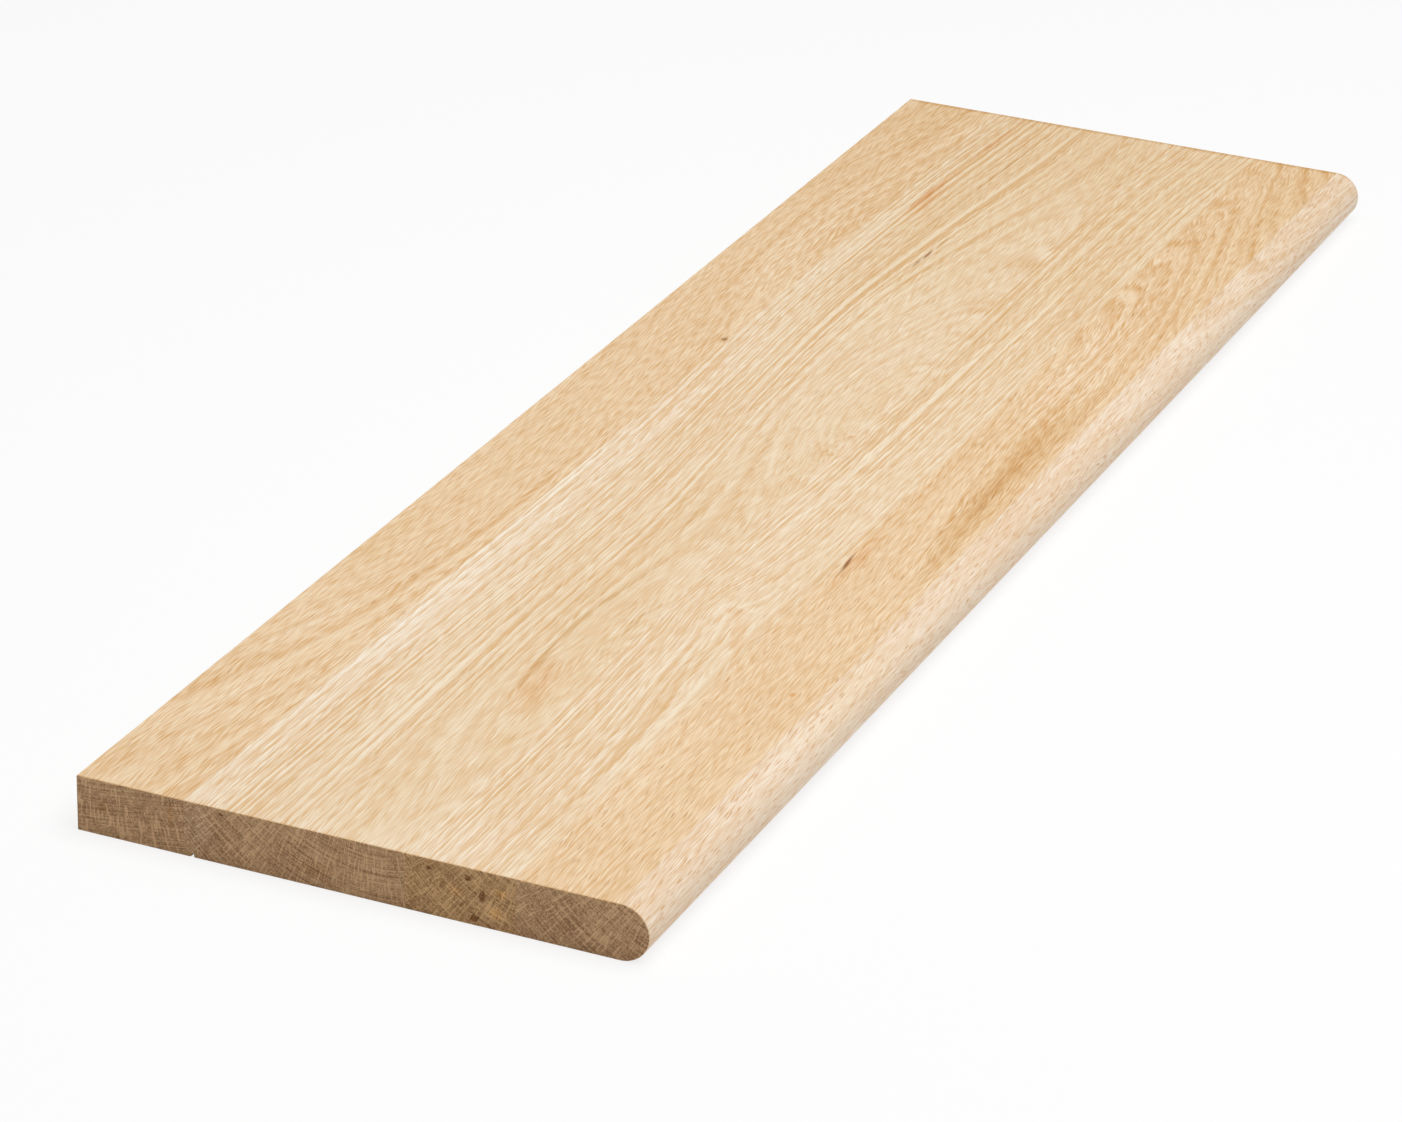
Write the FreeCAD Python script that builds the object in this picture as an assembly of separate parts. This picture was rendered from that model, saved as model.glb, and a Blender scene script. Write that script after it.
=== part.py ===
"""Solid oak stair tread: full-length staves edge-glued into a panel, with a full-round nose.

The panel is made in the shop's order. The section is moulded, the blank is cut to length and its
arrises are eased, and the glue lines then divide it into the staves that it was laid up from.

Frame, in millimetres: X runs along the tread, Y runs from the nose (-Y) to the back edge (+Y),
and Z is up. The origin is the middle of the underside.
"""

import os

import FreeCAD
import Part

# Stock size: 36 in long, 10 1/4 in from nose to back edge, 1 in thick.
TREAD_LENGTH = 914.4
TREAD_DEPTH = 260.35
TREAD_THICKNESS = 25.4

# Widths of the staves, from the back edge. The nosing stave takes up the depth that is left.
BACK_STAVE_WIDTH = 50.5
WIDE_STAVE_WIDTH = 101.5
NARROW_STAVE_WIDTH = 49.5
STAVE_NAMES = ("back_stave", "wide_stave", "narrow_stave", "nosing_stave")

# Sanded rounding of every outer arris.
ARRIS_RADIUS = 0.5

# Splinter missing from the wide stave's lower edge at the left end, just in front of the glue line.
CHIP_OFFSET = 2.5
CHIP_RUN = 9.0
CHIP_WIDTH = 2.0
CHIP_HEIGHT = 1.7

# How far a cut reaches past the faces that it cuts, and the slack when edges are looked up.
OVERSHOOT = 1.0
LOOKUP_SLACK = 1e-4

# The nose is a half round over the whole thickness.
NOSE_RADIUS = TREAD_THICKNESS / 2

LEFT_END = -TREAD_LENGTH / 2
BACK_EDGE = TREAD_DEPTH / 2
NOSE_TIP = -TREAD_DEPTH / 2

# Places of the glue lines across the panel, from the back edge to the nose.
BACK_GLUE_LINE = BACK_EDGE - BACK_STAVE_WIDTH
MIDDLE_GLUE_LINE = BACK_GLUE_LINE - WIDE_STAVE_WIDTH
FRONT_GLUE_LINE = MIDDLE_GLUE_LINE - NARROW_STAVE_WIDTH


def moulded_section():
    """The tread's section at its left end, as a face: square at the back, half round at the nose."""

    def point(y, z):
        return FreeCAD.Vector(LEFT_END, y, z)

    nose_start = NOSE_TIP + NOSE_RADIUS
    back_bottom = point(BACK_EDGE, 0)
    back_top = point(BACK_EDGE, TREAD_THICKNESS)
    nose_top = point(nose_start, TREAD_THICKNESS)
    nose_bottom = point(nose_start, 0)
    back_side = Part.LineSegment(back_bottom, back_top)
    top_side = Part.LineSegment(back_top, nose_top)
    nose_arc = Part.Arc(nose_top, point(NOSE_TIP, NOSE_RADIUS), nose_bottom)
    under_side = Part.LineSegment(nose_bottom, back_bottom)
    return Part.Face(Part.Wire([side.toShape() for side in (back_side, top_side, nose_arc, under_side)]))


def is_arris(edge):
    """True for an edge that is sharp on the blank: all round both ends, and along the back."""
    box = edge.BoundBox
    round_an_end = box.XLength < LOOKUP_SLACK
    along_the_back = box.YMin > BACK_EDGE - LOOKUP_SLACK
    return round_an_end or along_the_back


def moulded_panel():
    """The whole panel, moulded, cut to length and eased."""
    blank = moulded_section().extrude(FreeCAD.Vector(TREAD_LENGTH, 0, 0))
    return blank.makeFillet(ARRIS_RADIUS, [edge for edge in blank.Edges if is_arris(edge)])


def glue_plane(y):
    """An upright plane across the panel at a glue line, past the panel's outline on every side."""
    length = TREAD_LENGTH + 2 * OVERSHOOT
    height = TREAD_THICKNESS + 2 * OVERSHOOT
    corner = FreeCAD.Vector(LEFT_END - OVERSHOOT, y, TREAD_THICKNESS + OVERSHOOT)
    return Part.makePlane(length, height, corner, FreeCAD.Vector(0, 1, 0), FreeCAD.Vector(1, 0, 0))


def divided_panel(panel):
    """The panel's staves by name, in order from the back edge to the nose."""
    planes = [glue_plane(y) for y in (BACK_GLUE_LINE, MIDDLE_GLUE_LINE, FRONT_GLUE_LINE)]
    divided, _ = panel.generalFuse(planes)
    from_the_back = sorted(divided.Solids, key=lambda stave: stave.CenterOfMass.y, reverse=True)
    return dict(zip(STAVE_NAMES, from_the_back, strict=True))


def missing_splinter():
    """The splinter that is missing: square at the end face, and tapering to a tip along the grain."""
    back_side = BACK_GLUE_LINE - CHIP_OFFSET
    front_side = back_side - CHIP_WIDTH
    tip = FreeCAD.Vector(LEFT_END + CHIP_RUN, (back_side + front_side) / 2, 0)
    mouth = [
        FreeCAD.Vector(LEFT_END, back_side, -OVERSHOOT),
        FreeCAD.Vector(LEFT_END, back_side, CHIP_HEIGHT),
        FreeCAD.Vector(LEFT_END, front_side, CHIP_HEIGHT),
        FreeCAD.Vector(LEFT_END, front_side, -OVERSHOOT),
    ]
    reach = 1 + OVERSHOOT / CHIP_RUN
    rim = [tip + (corner - tip) * reach for corner in mouth]
    sides = [(tip, *pair) for pair in zip(rim, rim[1:] + rim[:1], strict=True)]
    faces = [Part.Face(Part.makePolygon([*side, side[0]])) for side in [*sides, rim]]
    return Part.Solid(Part.Shell(faces))


def main():
    """Writes one file for each stave."""
    staves = divided_panel(moulded_panel())
    staves["wide_stave"] = staves["wide_stave"].cut(missing_splinter())
    os.makedirs("parts", exist_ok=True)
    for name, stave in staves.items():
        stave.exportStep(os.path.join("parts", f"{name}.step"))
        width = stave.optimalBoundingBox().YLength
        print(f"{name}: {width:.2f} mm wide, {stave.Volume:.0f} mm3, valid {stave.isValid()}")


main()
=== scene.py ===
"""Looks of a solid oak stair tread: edge-glued staves, moulded together to a full-round nose.

Every stave is cut from one moulded panel and dressed in oak that is solid all through, so the growth
rings of the walking face run on over the nose, the sawn ends and the underside. Meshes are in metres.
The oak is laid out in millimetres of the tread's own frame: X along it, Y from the nose to the back
edge, Z up.
"""

import logging
import math
from abc import ABC, abstractmethod
from collections.abc import Callable, Mapping
from dataclasses import dataclass
from enum import Enum
from typing import ClassVar

import bmesh
import bpy
from mathutils import Matrix, Vector


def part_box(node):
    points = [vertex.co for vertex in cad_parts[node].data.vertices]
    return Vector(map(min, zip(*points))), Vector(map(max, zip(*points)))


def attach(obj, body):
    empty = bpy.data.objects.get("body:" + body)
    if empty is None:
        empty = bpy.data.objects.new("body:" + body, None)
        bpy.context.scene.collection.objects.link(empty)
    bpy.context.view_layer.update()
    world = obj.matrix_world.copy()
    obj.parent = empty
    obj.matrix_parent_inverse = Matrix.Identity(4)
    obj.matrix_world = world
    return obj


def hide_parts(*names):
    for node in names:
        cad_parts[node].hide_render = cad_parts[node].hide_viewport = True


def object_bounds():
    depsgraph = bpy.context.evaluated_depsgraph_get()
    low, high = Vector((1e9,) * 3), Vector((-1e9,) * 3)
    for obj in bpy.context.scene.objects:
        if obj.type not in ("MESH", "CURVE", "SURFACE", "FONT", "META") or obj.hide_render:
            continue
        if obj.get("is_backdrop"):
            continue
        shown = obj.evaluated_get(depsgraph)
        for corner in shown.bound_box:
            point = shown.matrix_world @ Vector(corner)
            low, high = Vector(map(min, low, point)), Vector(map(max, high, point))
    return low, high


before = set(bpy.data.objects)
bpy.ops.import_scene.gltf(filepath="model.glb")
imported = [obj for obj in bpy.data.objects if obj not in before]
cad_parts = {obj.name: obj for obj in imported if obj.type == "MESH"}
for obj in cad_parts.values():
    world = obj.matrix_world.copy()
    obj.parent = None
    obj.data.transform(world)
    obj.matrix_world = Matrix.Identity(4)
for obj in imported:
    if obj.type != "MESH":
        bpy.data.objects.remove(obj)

LOG = logging.getLogger("stair_tread")
BODY = "root"
MM = 0.001
MM_PER_METRE = 1000.0
WHITE = (1.0, 1.0, 1.0, 1.0)

# How far apart two places may lie, in metres, and still count as one.
SLACK = 0.01 * MM

# Places of the oak, in millimetres: the sawn ends and the walking face.
LEFT_END = -457.0
FAR_END = 457.0
WALKING_FACE = 25.4

# The stem's radius, in millimetres, where an angle about its pith is turned into a length round it.
STEM_RADIUS = 70.0

# How far a spot on a sawn end reaches into the stave, and the thin brown line along the far end.
END_SPOT_REACH = 25.0
FAR_LINE_REACH = 5.0
FAR_LINE_STRENGTH = 0.8

Colour = tuple[float, float, float, float]
Pair = tuple[float, float]
Socket = bpy.types.NodeSocket
Source = Socket | float | Colour
Sockets = Mapping[str, Socket]
Piece = bpy.types.Object
MeshPart = bmesh.types.BMEdge | bmesh.types.BMFace


def srgb(red: int, green: int, blue: int) -> Colour:
    """Turns a colour as a screen shows it into the linear colour that nodes take.

    Args:
        red: Red, from 0 to 255.
        green: Green, from 0 to 255.
        blue: Blue, from 0 to 255.

    Returns:
        The linear colour, with full alpha.
    """

    def linear(channel: int) -> float:
        """One channel, freed of the screen's curve."""
        share = channel / 255
        return share / 12.92 if share <= 0.04045 else ((share + 0.055) / 1.055) ** 2.4

    return linear(red), linear(green), linear(blue), 1.0


class Op(Enum):
    """The sums that the oak's nodes work out."""

    ADD = "ADD"
    SUBTRACT = "SUBTRACT"
    MULTIPLY = "MULTIPLY"
    DIVIDE = "DIVIDE"
    MULTIPLY_ADD = "MULTIPLY_ADD"
    MAXIMUM = "MAXIMUM"
    ABSOLUTE = "ABSOLUTE"
    SQRT = "SQRT"
    EXPONENT = "EXPONENT"
    FLOOR = "FLOOR"
    FRACT = "FRACT"
    ARCTAN2 = "ARCTAN2"


class Kind(Enum):
    """What flows through a group's socket."""

    VALUE = "NodeSocketFloat"
    VECTOR = "NodeSocketVector"
    COLOUR = "NodeSocketColor"


def values(*names: str) -> dict[str, Kind]:
    """Names sockets that plain values flow through."""
    return dict.fromkeys(names, Kind.VALUE)


class Blend(Enum):
    """How one colour is laid over another."""

    COVER = "MIX"
    TINT = "MULTIPLY"


class Spread(Enum):
    """What noise fills: a plane, which gives even lines, or all of space."""

    PLANE = "2D"
    SPACE = "3D"


class NodeSheet:
    """One node tree, and the few ways in which its nodes are added and linked."""

    # Where the mix node keeps its sockets for colours.
    MIX_FACTOR = 0
    MIX_FIRST = 6
    MIX_SECOND = 7
    MIX_RESULT = 2

    def __init__(self, tree: bpy.types.NodeTree) -> None:
        """Works on the given tree."""
        self.tree = tree

    def feed(self, socket: Socket, source: Source) -> None:
        """Links a socket to what feeds it, or sets its plain value.

        Args:
            socket: The input to feed.
            source: Another node's output, or a number or colour.
        """
        if isinstance(source, bpy.types.NodeSocket):
            self.tree.links.new(source, socket)
        else:
            socket.default_value = source

    def add(
        self, kind: str, feeds: Mapping[str | int, Source] | None = None, **settings: object
    ) -> bpy.types.Node:
        """Adds a node.

        Args:
            kind: The node's type, such as ShaderNodeMath.
            feeds: What feeds each of its inputs.
            settings: The node's own properties.

        Returns:
            The new node.
        """
        node = self.tree.nodes.new(kind)
        for name, value in settings.items():
            setattr(node, name, value)
        for key, source in (feeds or {}).items():
            self.feed(node.inputs[key], source)
        return node

    def calc(self, op: Op, *operands: Source) -> Socket:
        """Works out one sum of the operands, in their order."""
        return self.add("ShaderNodeMath", dict(enumerate(operands)), operation=op.value).outputs[0]

    def swing(self, noise: Socket, reach: Source) -> Socket:
        """Turns noise about 0.5 into a swing about nought, reach wide from end to end."""
        return self.calc(Op.MULTIPLY, self.calc(Op.SUBTRACT, noise, 0.5), reach)

    def inverse(self, share: Socket) -> Socket:
        """Turns a share into what is left of one."""
        return self.calc(Op.SUBTRACT, 1.0, share)

    def split(self, vector: Socket) -> tuple[Socket, Socket, Socket]:
        """Takes a vector apart into X, Y and Z."""
        parts = self.add("ShaderNodeSeparateXYZ", {0: vector}).outputs
        return parts[0], parts[1], parts[2]

    def join(self, *parts: Source) -> Socket:
        """Puts a vector together from X, Y and, where it has one, Z."""
        return self.add("ShaderNodeCombineXYZ", dict(enumerate(parts))).outputs[0]

    def cells(self, place: tuple[Source, ...], sizes: tuple[Source, ...]) -> Socket:
        """Counts a place's coordinates in cells of the given sizes."""
        return self.join(*(self.calc(Op.DIVIDE, *count) for count in zip(place, sizes, strict=True)))

    def noise(self, cells: Socket, detail: float = 0.0, spread: Spread = Spread.SPACE) -> Socket:
        """Soft noise about 0.5, with about one lump to a cell, and finer layers as detail asks."""
        feeds = {"Vector": cells, "Scale": 1.0, "Detail": detail}
        return self.add("ShaderNodeTexNoise", feeds, noise_dimensions=spread.value).outputs["Fac"]

    def ease(self, value: Source, start: Source, stop: Source) -> Socket:
        """Rises smoothly from 0, where the value is at start, to 1, where it is at stop."""
        feeds = {"Value": value, "From Min": start, "From Max": stop}
        return self.add("ShaderNodeMapRange", feeds, interpolation_type="SMOOTHSTEP").outputs["Result"]

    def mix(self, factor: Source, first: Source, second: Source, blend: Blend = Blend.COVER) -> Socket:
        """Lays one colour over another.

        Args:
            factor: The second colour's share.
            first: The colour underneath.
            second: The colour on top.
            blend: Whether the second colour covers the first or tints it.

        Returns:
            The mixed colour.
        """
        feeds = {self.MIX_FACTOR: factor, self.MIX_FIRST: first, self.MIX_SECOND: second}
        mixer = self.add("ShaderNodeMix", feeds, data_type="RGBA", blend_type=blend.value)
        return mixer.outputs[self.MIX_RESULT]


class Effect(ABC):
    """A look that several finishes share: a node group, built once and placed in each material."""

    takes: ClassVar[Mapping[str, Kind]]
    gives: ClassVar[Mapping[str, Kind]]

    @classmethod
    @abstractmethod
    def wire(cls, sheet: NodeSheet, take: Sockets) -> Mapping[str, Source]:
        """Wires up the inside of the group.

        Args:
            sheet: The group's own tree.
            take: What comes into the group, by name.

        Returns:
            What goes out of the group, by name.
        """

    @classmethod
    def group(cls) -> bpy.types.NodeTree:
        """Gives the effect's group, which is built the first time.

        Returns:
            The node group.
        """
        built = bpy.data.node_groups.get(cls.__name__)
        if built is not None:
            return built
        tree = bpy.data.node_groups.new(cls.__name__, "ShaderNodeTree")
        for name, kind in cls.takes.items():
            tree.interface.new_socket(name, in_out="INPUT", socket_type=kind.value)
        for name, kind in cls.gives.items():
            tree.interface.new_socket(name, in_out="OUTPUT", socket_type=kind.value)
        sheet = NodeSheet(tree)
        take = sheet.add("NodeGroupInput").outputs
        sheet.add("NodeGroupOutput", cls.wire(sheet, take))
        return tree

    @classmethod
    def place(cls, sheet: NodeSheet, feeds: Mapping[str, Source]) -> Sockets:
        """Places the group in a material, fed by name, and gives its outputs by name."""
        return sheet.add("ShaderNodeGroup", feeds, node_tree=cls.group()).outputs


class VesselRuns(Effect):
    """Vessels start and stop unevenly, so a ring that runs out of the face has teeth along the grain."""

    takes = {"Position": Kind.VECTOR, **values("Reach")}
    gives = {"Position": Kind.VECTOR}
    CELL: ClassVar = (18.0, 0.9, 0.9)

    @classmethod
    def wire(cls, sheet: NodeSheet, take: Sockets) -> Mapping[str, Source]:
        """Wires a jump along the grain that differs from vessel to vessel.

        Args:
            sheet: The group's own tree.
            take: The place, and how far the longest jumps reach.

        Returns:
            Position, moved along the grain.
        """
        place = sheet.split(take["Position"])
        jump = sheet.swing(sheet.noise(sheet.cells(place, cls.CELL), detail=1.0), take["Reach"])
        x, y, z = place
        return {"Position": sheet.join(sheet.calc(Op.ADD, x, jump), y, z)}


class GrowthField(Effect):
    """Distance from the stem's pith, which the growth rings follow, and the angle about it."""

    takes = {"Position": Kind.VECTOR, **values("Pith Y", "Pith Z", "Drift")}
    gives = values("Radius", "Angle")
    DRIFT_CELL: ClassVar = (220.0, 50.0, 50.0)

    @classmethod
    def wire(cls, sheet: NodeSheet, take: Sockets) -> Mapping[str, Source]:
        """Wires the distance with a slow drift, because no stem grows straight.

        Args:
            sheet: The group's own tree.
            take: The place, the pith and how far the rings drift.

        Returns:
            Radius and Angle.
        """
        place = sheet.split(take["Position"])
        across = sheet.calc(Op.SUBTRACT, place[1], take["Pith Y"])
        depth = sheet.calc(Op.SUBTRACT, take["Pith Z"], place[2])
        squares = sheet.calc(Op.MULTIPLY_ADD, across, across, sheet.calc(Op.MULTIPLY, depth, depth))
        slow = sheet.noise(sheet.cells(place, cls.DRIFT_CELL), detail=1.0)
        radius = sheet.calc(Op.ADD, sheet.calc(Op.SQRT, squares), sheet.swing(slow, take["Drift"]))
        return {"Radius": radius, "Angle": sheet.calc(Op.ARCTAN2, across, depth)}


class RingSwell(Effect):
    """A place where the stem bulged, so that the rings bow round it in long ovals or round a knot."""

    takes = {
        "Position": Kind.VECTOR,
        **values("Radius", "Centre X", "Centre Y", "Half Length", "Half Width", "Lift"),
    }
    gives = values("Radius")

    @classmethod
    def wire(cls, sheet: NodeSheet, take: Sockets) -> Mapping[str, Source]:
        """Wires a smooth bump in the distance from the pith.

        Args:
            sheet: The group's own tree.
            take: The place, the distance so far, and the bump's place, size and lift.

        Returns:
            Radius, with the bump in it.
        """
        x, y, _ = sheet.split(take["Position"])
        along = sheet.calc(Op.DIVIDE, sheet.calc(Op.SUBTRACT, x, take["Centre X"]), take["Half Length"])
        across = sheet.calc(Op.DIVIDE, sheet.calc(Op.SUBTRACT, y, take["Centre Y"]), take["Half Width"])
        spread = sheet.calc(Op.MULTIPLY_ADD, along, along, sheet.calc(Op.MULTIPLY, across, across))
        bump = sheet.calc(Op.EXPONENT, sheet.calc(Op.MULTIPLY, spread, -1.0))
        return {"Radius": sheet.calc(Op.MULTIPLY_ADD, bump, take["Lift"], take["Radius"])}


class GrainStrokes(Effect):
    """Fibres and open pores, drawn out along the grain and round on the sawn ends."""

    takes = {
        "Position": Kind.VECTOR,
        **values("Bow", "Stroke Length", "Stroke Width", "Pore Length", "Pore Width", "Slope"),
    }
    gives = values("Strokes", "Fibre Ends", "Pores")
    WANDER_CELL: ClassVar = (60.0, 26.0, 26.0)
    WANDER = 6.0
    SKEW = 1.6
    LEAN = 1.7
    STAGGER = 0.37
    STROKE_DETAIL = 0.5
    SHUT = 0.4
    OPEN = 0.6
    PORE_CORE = 0.14
    PORE_EDGE = 0.36

    @classmethod
    def wire(cls, sheet: NodeSheet, take: Sockets) -> Mapping[str, Source]:
        """Wires the fibres as stretched noise, and the pores as stretched cells of which half are open.

        Args:
            sheet: The group's own tree.
            take: The place, how far the fibres bow aside there, the sizes, and the slope of the grain.

        Returns:
            Strokes and Fibre Ends, about 0.5, and Pores, from 0 to 1.
        """
        x, y, z = sheet.split(take["Position"])
        skewed = (sheet.calc(Op.MULTIPLY_ADD, y, cls.SKEW, x), y, z)
        wander = sheet.swing(sheet.noise(sheet.cells(skewed, cls.WANDER_CELL), detail=1.0), cls.WANDER)
        level = sheet.calc(Op.ADD, sheet.calc(Op.ADD, y, wander), take["Bow"])
        side = sheet.calc(Op.SUBTRACT, level, sheet.calc(Op.MULTIPLY, x, take["Slope"]))
        leaning = sheet.calc(Op.MULTIPLY_ADD, z, cls.LEAN, side)
        row = sheet.calc(Op.DIVIDE, leaning, take["Stroke Width"])
        column = sheet.calc(Op.DIVIDE, x, take["Stroke Length"])
        staggered = sheet.calc(Op.MULTIPLY_ADD, row, cls.STAGGER, column)
        strokes = sheet.noise(sheet.join(staggered, row), cls.STROKE_DETAIL, Spread.PLANE)
        stroke_cell = (take["Stroke Length"], take["Stroke Width"], take["Stroke Width"])
        fibre_ends = sheet.noise(sheet.cells((x, side, z), stroke_cell), cls.STROKE_DETAIL)
        pore_cell = (take["Pore Length"], take["Pore Width"], take["Pore Width"])
        feeds = {"Vector": sheet.cells((x, side, z), pore_cell), "Scale": 1.0}
        pits = sheet.add("ShaderNodeTexVoronoi", feeds).outputs
        open_pit = sheet.ease(sheet.split(pits["Color"])[0], cls.SHUT, cls.OPEN)
        pit = sheet.inverse(sheet.ease(pits["Distance"], cls.PORE_CORE, cls.PORE_EDGE))
        pores = sheet.calc(Op.MULTIPLY, open_pit, pit)
        return {"Strokes": strokes, "Fibre Ends": fibre_ends, "Pores": pores}


class RingBands(Effect):
    """The porous early wood of each year's ring, and the fine lines that follow the rings."""

    takes = {
        "Position": Kind.VECTOR,
        **values("Radius", "Angle", "Strokes", "Ring Width", "Feather", "Line Length", "Line Width"),
    }
    gives = values("Earlywood", "Lines")
    UNEVEN_CELL: ClassVar = (8.0, 1.0, 1.0)
    UNEVEN = 5.0
    RISE_END = 0.2
    FALL_START = 0.2
    FALL_END = 0.7
    LEAST_SHARE = 0.3
    ARC_LENGTH = 25.0

    @classmethod
    def wire(cls, sheet: NodeSheet, take: Sockets) -> Mapping[str, Source]:
        """Wires uneven years, each stronger or weaker, and lines that are long round and along the stem.

        Args:
            sheet: The group's own tree.
            take: The place, its distance from the pith and angle about it, the strokes, and the sizes.

        Returns:
            Earlywood, from 0 to 1, and Lines, about 0.5.
        """
        radius = sheet.calc(Op.ADD, take["Radius"], sheet.swing(take["Strokes"], take["Feather"]))
        uneven = sheet.swing(sheet.noise(sheet.cells((radius, 0.0, 0.0), cls.UNEVEN_CELL)), cls.UNEVEN)
        years = sheet.calc(Op.DIVIDE, sheet.calc(Op.ADD, radius, uneven), take["Ring Width"])
        season = sheet.calc(Op.FRACT, years)
        feeds = {"W": sheet.calc(Op.FLOOR, years)}
        luck = sheet.add("ShaderNodeTexWhiteNoise", feeds, noise_dimensions="1D").outputs["Value"]
        share = sheet.calc(Op.MULTIPLY_ADD, luck, 1.0 - cls.LEAST_SHARE, cls.LEAST_SHARE)
        rise = sheet.ease(season, 0.0, cls.RISE_END)
        fall = sheet.inverse(sheet.ease(season, cls.FALL_START, cls.FALL_END))
        band = sheet.calc(Op.MULTIPLY, rise, fall)
        x, _, _ = sheet.split(take["Position"])
        arc = sheet.calc(Op.MULTIPLY, take["Angle"], STEM_RADIUS)
        stretch = sheet.calc(Op.DIVIDE, take["Line Length"], cls.ARC_LENGTH)
        way = sheet.calc(Op.MULTIPLY_ADD, arc, stretch, x)
        line_cell = (take["Line Length"], take["Line Width"], 1.0)
        lines = sheet.noise(sheet.cells((way, radius, 0.0), line_cell), detail=1.0, spread=Spread.PLANE)
        return {"Earlywood": sheet.calc(Op.MULTIPLY, band, share), "Lines": lines}


class WoodRays(Effect):
    """Oak's rays: thin pale sheets from the pith outwards, lines on the ends and flecks elsewhere."""

    takes = {"Position": Kind.VECTOR, **values("Radius", "Angle")}
    gives = values("Rays")
    RAY_CELL: ClassVar = (16.0, 9.0, 0.5)
    RAY_EDGE = 0.55
    RAY_CORE = 0.66

    @classmethod
    def wire(cls, sheet: NodeSheet, take: Sockets) -> Mapping[str, Source]:
        """Wires noise that is long along the stem and outwards, and thin round it.

        Args:
            sheet: The group's own tree.
            take: The place, and its distance from the pith and angle about it.

        Returns:
            Rays, from 0 to 1.
        """
        x, _, _ = sheet.split(take["Position"])
        arc = sheet.calc(Op.MULTIPLY, take["Angle"], STEM_RADIUS)
        sheets = sheet.noise(sheet.cells((x, take["Radius"], arc), cls.RAY_CELL), detail=1.0)
        return {"Rays": sheet.ease(sheets, cls.RAY_EDGE, cls.RAY_CORE)}


class SlowShade(Effect):
    """Stretches where the stave is a little deeper or paler in tone."""

    takes = {"Position": Kind.VECTOR, **values("Length", "Width")}
    gives = values("Shade")

    @classmethod
    def wire(cls, sheet: NodeSheet, take: Sockets) -> Mapping[str, Source]:
        """Wires Shade, slow noise about 0.5 that is as long along the grain and as wide as asked."""
        size = (take["Length"], take["Width"], take["Width"])
        return {"Shade": sheet.noise(sheet.cells(sheet.split(take["Position"]), size), detail=1.0)}


class LocalMark(Effect):
    """A stain, mineral streak, knot or spot: a soft patch with a ragged edge."""

    takes = {
        "Position": Kind.VECTOR,
        **values("Strokes", "Centre X", "Centre Y", "Centre Z"),
        **values("Half Length", "Half Width", "Half Height", "Slant", "Fray", "Strength"),
    }
    gives = values("Mask")

    @classmethod
    def wire(cls, sheet: NodeSheet, take: Sockets) -> Mapping[str, Source]:
        """Wires a slanted oval that fades outwards.

        Args:
            sheet: The group's own tree.
            take: The place, the strokes that fray the edge, and the patch's place, size and strength.

        Returns:
            Mask, from 0 to the strength.
        """
        x, y, z = sheet.split(take["Position"])
        ahead = sheet.calc(Op.SUBTRACT, x, take["Centre X"])
        level = sheet.calc(Op.MULTIPLY_ADD, ahead, take["Slant"], take["Centre Y"])
        along = sheet.calc(Op.DIVIDE, ahead, take["Half Length"])
        across = sheet.calc(Op.DIVIDE, sheet.calc(Op.SUBTRACT, y, level), take["Half Width"])
        down = sheet.calc(Op.DIVIDE, sheet.calc(Op.SUBTRACT, z, take["Centre Z"]), take["Half Height"])
        spread = sheet.calc(Op.MULTIPLY, along, along)
        for part in (across, down):
            spread = sheet.calc(Op.MULTIPLY_ADD, part, part, spread)
        frayed = sheet.calc(Op.ADD, spread, sheet.swing(take["Strokes"], take["Fray"]))
        patch = sheet.inverse(sheet.ease(frayed, 0.0, 1.0))
        return {"Mask": sheet.calc(Op.MULTIPLY, patch, take["Strength"])}


class OakTone(Effect):
    """Oak's colour: pale late wood, deeper early wood, pores and rays."""

    takes = {
        **values("Earlywood", "Lines", "Strokes", "Pores", "Rays", "Shade", "Clarity", "Depth"),
        **values("Shade Weight", "Ring Weight", "Line Weight", "Stroke Weight"),
        **values("Pore Weight", "Ray Weight"),
        "Pale": Kind.COLOUR,
        "Deep": Kind.COLOUR,
        "Pore": Kind.COLOUR,
    }
    gives = {"Color": Kind.COLOUR}
    STRAY_PORES = 0.35

    @classmethod
    def wire(cls, sheet: NodeSheet, take: Sockets) -> Mapping[str, Source]:
        """Wires one depth of tone from all that deepens the wood, and the pores over it.

        Args:
            sheet: The group's own tree.
            take: The wood's parts, how strongly each shows, and the colours.

        Returns:
            Color.
        """
        lines = sheet.swing(take["Lines"], take["Line Weight"])
        rings = sheet.calc(Op.MULTIPLY_ADD, take["Earlywood"], take["Ring Weight"], lines)
        depth = sheet.calc(Op.MULTIPLY_ADD, rings, take["Clarity"], take["Depth"])
        depth = sheet.calc(Op.ADD, depth, sheet.swing(take["Strokes"], take["Stroke Weight"]))
        depth = sheet.calc(Op.ADD, depth, sheet.swing(take["Shade"], take["Shade Weight"]))
        depth = sheet.calc(Op.SUBTRACT, depth, sheet.calc(Op.MULTIPLY, take["Rays"], take["Ray Weight"]))
        wood = sheet.mix(depth, take["Pale"], take["Deep"])
        early = sheet.calc(Op.MULTIPLY_ADD, take["Earlywood"], 1.0 - cls.STRAY_PORES, cls.STRAY_PORES)
        shown = sheet.calc(Op.MULTIPLY, early, take["Pore Weight"])
        pores = sheet.calc(Op.MULTIPLY, take["Pores"], shown)
        return {"Color": sheet.mix(pores, wood, take["Pore"])}


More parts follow.
